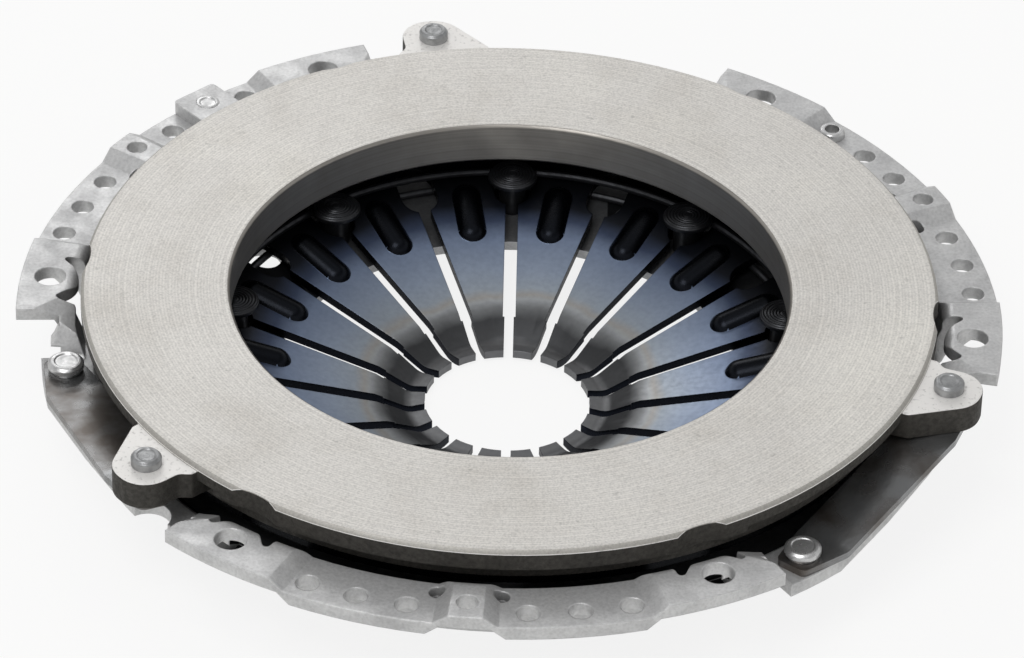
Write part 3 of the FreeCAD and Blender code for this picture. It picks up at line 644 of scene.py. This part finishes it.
class CLUTCH_OT_straps(bpy.types.Operator):
    """Nine spring leaves between the cover's shelves and the plate's lugs, each cut across into parts along
    its run
    """
    bl_idname = "clutch.straps"
    bl_label = "Strap leaves"

    def execute(self, context):
        c = colours()
        mat = strip_finish(c.strip, c.strip_tint)
        for k in range(3):
            a = math.radians(STRAP_FIXED_ANGLE + THIRD_TURN * k)
            b = math.radians(STRAP_MOVING_ANGLE + THIRD_TURN * k)
            low = Vector((math.cos(a), math.sin(a), 0)) * STRAP_FIXED_RADIUS + Vector((0, 0, STRAP_BASE))
            high = Vector((math.cos(b), math.sin(b), 0)) * STRAP_MOVING_RADIUS
            high.z = STRAP_BASE + STRAP_RISE
            run = Vector((high.x - low.x, high.y - low.y, 0))
            for word in ("bottom", "middle", "top"):
                node = "strap_%d_leaf_%s" % (k + 1, word)
                obj = merged_copy(node, node.replace("strap", "leaf_spring"))
                bm = bmesh.new()
                bm.from_mesh(obj.data)
                for i in range(1, STRAP_PARTS):
                    bmesh.ops.bisect_plane(bm, geom=bm.verts[:] + bm.edges[:] + bm.faces[:],
                                           plane_co=low + run * (i / STRAP_PARTS), plane_no=run.normalized())
                bm.to_mesh(obj.data)
                bm.free()
                smooth_by_angle(obj)
                assign_by(obj, [mat], lambda face: 0)
                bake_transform(obj)
                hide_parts(node)
        return {"FINISHED"}


class CLUTCH_OT_rivets(bpy.types.Operator):
    """Fulcrum, plate and cover rivets, the balance pieces and the fulcrum wires"""
    bl_idname = "clutch.rivets"
    bl_label = "Rivets and wires"

    def execute(self, context):
        c = colours()
        plain = rivet_finish("headed_steel_rivet", c.rivet, 0.3, 0.2 * MM)
        # The fulcrum rivets' dark colour is painted shade for the shadow under the plate.
        black = rivet_finish("painted_shade_turned_rivet", c.black, 0.3, 0.5 * MM)
        bright = rivet_finish("polished_steel_rivet", c.bright, 0.24, 0.1 * MM)
        wire = rivet_finish("drawn_steel_wire", c.wire, 0.35, 0.05 * MM)
        sheet = pressed_steel_finish("pressed_weight", c.sheet, c.sheet_shade, c.worn)
        turned = [(0.45 * MM, -0.25 * MM), (0.45 * MM, 0.25 * MM)] * 6
        collar = [(0.7 * MM, 0.0), (0.35 * MM, -0.25 * MM)]
        groups = (
            ([n for n in NODES if n.startswith("fulcrum_rivet")], black, "rivet_steel", turned),
            ([n for n in NODES if n.startswith("cover_rivet")], bright, "rivet_steel", collar),
            ([n for n in NODES if n.startswith("plate_rivet")], plain, "rivet_steel", collar),
            (["fulcrum_ring_front", "fulcrum_ring_rear"], wire, "ring_wire", ()),
            (["balance_weight"], sheet, "pressed_steel", ()),
            (["balance_rivet"], bright, "rivet_steel", collar),
            (["hollow_balance_rivet"], bright, "rivet_steel", ()),
        )
        for names, mat, record_slot, rings in groups:
            for name in names:
                body = PLATE_BODY if name.startswith("plate_rivet") else COVER_BODY
                obj = merged_copy(name, "dressed_" + name, bevel_width=RIVET_EDGE, rings=rings)
                own_axis_map(obj)
                assign_by(obj, [mat], lambda face: 0)
                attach(obj, body)
                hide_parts(name)
        return {"FINISHED"}


class CLUTCH_OT_stage(bpy.types.Operator):
    """Pale floor, soft lamps and the camera at the photograph's angle"""
    bl_idname = "clutch.stage"
    bl_label = "Stage"

    def execute(self, context):
        scene = context.scene
        scene.view_settings.view_transform = "Standard"
        lowest = CAD_BOX[0][2]
        mesh = bpy.data.meshes.new("studio_floor")
        bm = bmesh.new()
        bmesh.ops.create_grid(bm, x_segments=1, y_segments=1, size=sizes().floor_size / 2)
        bmesh.ops.translate(bm, verts=bm.verts, vec=(0, 0, lowest - 0.5 * MM))
        bm.to_mesh(mesh)
        bm.free()
        floor = bpy.data.objects.new("studio_floor", mesh)
        scene.collection.objects.link(floor)
        mesh.materials.append(white_floor_finish(colours().floor))
        studio_world(scene)
        # Two square boxes aimed at the part, one low behind it and one high in front of it
        for name, place, power in (("rear_softbox", (-0.7, 2.0, 1.15), 5.5),
                                   ("front_softbox", (-0.5, -1.0, 2.0), 16.0)):
            lamp = bpy.data.lights.new(name, "AREA")
            lamp.shape = "SQUARE"
            lamp.size = 1.1
            lamp.energy = power
            obj = bpy.data.objects.new(name, lamp)
            obj.location = place
            obj.rotation_euler = Vector(place).to_track_quat("Z", "Y").to_euler()
            scene.collection.objects.link(obj)
        place_camera(scene)
        return {"FINISHED"}


def white_floor_finish(colour):
    """A matt white sweep that the camera and polished metal see as plain white."""
    mat, tree, shader = new_material("matt_white_sweep", 0.0, 0.9)
    shader.inputs["Base Color"].default_value = linear(colour)
    shader.inputs["Specular IOR Level"].default_value = 0.0
    glow = add_node(tree, "ShaderNodeEmission", None, {"Color": (1, 1, 1, 1), "Strength": 1.0})
    path = add_node(tree, "ShaderNodeLightPath")
    shine = add_node(tree, MATH, {"operation": "MAXIMUM"},
                     {0: path.outputs["Is Glossy Ray"], 1: path.outputs["Is Transmission Ray"]})
    shine = add_node(tree, MATH, {"operation": "MULTIPLY"}, {0: shine.outputs[0], 1: 0.35})
    seen = add_node(tree, MATH, {"operation": "MULTIPLY"}, {0: path.outputs["Is Camera Ray"], 1: 0.84})
    share = add_node(tree, MATH, {"operation": "MAXIMUM"}, {0: seen.outputs[0], 1: shine.outputs[0]})
    mixed = add_node(tree, "ShaderNodeMixShader", None,
                     {0: share.outputs[0], 1: shader.outputs[0], 2: glow.outputs[0]})
    out = [n for n in tree.nodes if n.type == "OUTPUT_MATERIAL"][0]
    tree.links.new(mixed.outputs[0], out.inputs["Surface"])
    return mat


def studio_world(scene):
    """A light tent that is brightest overhead, so that level faces are pale and upright ones dark."""
    world = bpy.data.worlds.new("studio_tent")
    world.use_nodes = True
    tree = world.node_tree
    tree.nodes.clear()
    path = add_node(tree, "ShaderNodeLightPath")
    coords = add_node(tree, "ShaderNodeTexCoord")
    height = add_node(tree, "ShaderNodeSeparateXYZ", None, {0: coords.outputs["Generated"]})
    tent = add_node(tree, RAMP, {"stops": [(0.0, 0.2), (0.28, 0.8), (0.5, 1.0), (0.63, 0.62), (0.72, 0.25),
                                           (0.84, 0.5), (0.94, 1.0), (1.0, 0.6)]}, {0: height.outputs[2]})
    across = add_node(tree, MATH, {"operation": "MULTIPLY_ADD"}, {0: height.outputs[0], 1: 0.5, 2: 0.5})
    side = add_node(tree, RAMP, {"stops": [(0.0, 0.93), (1.0, 0.86)]}, {0: across.outputs[0]})
    tone = add_node(tree, MATH, {"operation": "MULTIPLY"}, {0: tent.outputs[0], 1: side.outputs[0]})
    light = add_node(tree, "ShaderNodeBackground", None, {"Color": tone.outputs[0], "Strength": 0.95})
    white = add_node(tree, "ShaderNodeBackground", None, {"Color": (1, 1, 1, 1), "Strength": 1.0})
    mixed = add_node(tree, "ShaderNodeMixShader", None,
                     {0: path.outputs["Is Camera Ray"], 1: light.outputs[0], 2: white.outputs[0]})
    add_node(tree, "ShaderNodeOutputWorld", None, {"Surface": mixed.outputs[0]})
    scene.world = world


def place_camera(scene):
    """The photograph's camera: a long lens from the front, 36 degrees up, held slightly turned."""
    azimuth = math.radians(3.91)
    rise = math.radians(36.0)
    distance = 1.659
    held_turned = 0.0268
    focal_pixels = 5879.6
    pixels_down = 44.9
    pixels_across = 1.8
    photo_width = 1024
    target = Vector((0, 0, FACE_HEIGHT))
    away = Vector((math.sin(azimuth) * math.cos(rise), -math.cos(azimuth) * math.cos(rise), math.sin(rise)))
    cam = bpy.data.cameras.new("photo_camera")
    cam.sensor_width = 36.0
    cam.lens = cam.sensor_width * focal_pixels / photo_width
    cam.clip_end = 50
    obj = bpy.data.objects.new("photo_camera", cam)
    turn = away.to_track_quat("Z", "Y").to_matrix().to_4x4()
    roll = Matrix.Rotation(held_turned, 4, "Z")
    tip = Matrix.Rotation(-math.atan2(pixels_down, focal_pixels), 4, "X")
    swing = Matrix.Rotation(-math.atan2(pixels_across, focal_pixels), 4, "Y")
    obj.matrix_world = Matrix.Translation(target + away * distance) @ turn @ roll @ tip @ swing
    scene.collection.objects.link(obj)
    scene.camera = obj


class CLUTCH_PT_panel(bpy.types.Panel):
    """Lists the pieces in the order they are made"""
    bl_label = "Clutch pressure plate"
    bl_idname = "CLUTCH_PT_panel"
    bl_space_type = "VIEW_3D"
    bl_region_type = "UI"
    bl_category = "Clutch"

    def draw(self, context):
        for step in STEPS:
            self.layout.operator(step.bl_idname)
        for group in (context.scene.clutch_sizes, context.scene.clutch_colours):
            for key in group.__annotations__:
                self.layout.prop(group, key)


STEPS = (CLUTCH_OT_stage, CLUTCH_OT_pressure_plate, CLUTCH_OT_cover, CLUTCH_OT_spring, CLUTCH_OT_straps,
         CLUTCH_OT_rivets)
CLASSES = (ClutchColours, ClutchSizes, *STEPS, CLUTCH_PT_panel)


def register():
    for cls in CLASSES:
        bpy.utils.register_class(cls)
    bpy.types.Scene.clutch_colours = bpy.props.PointerProperty(type=ClutchColours)
    bpy.types.Scene.clutch_sizes = bpy.props.PointerProperty(type=ClutchSizes)


def unregister():
    del bpy.types.Scene.clutch_sizes
    del bpy.types.Scene.clutch_colours
    for cls in reversed(CLASSES):
        bpy.utils.unregister_class(cls)


def main():
    """Makes the stage and every piece."""
    register()
    bpy.ops.clutch.stage()
    bpy.ops.clutch.pressure_plate()
    bpy.ops.clutch.cover()
    bpy.ops.clutch.spring()
    bpy.ops.clutch.straps()
    bpy.ops.clutch.rivets()


if __name__ == "__main__":
    main()
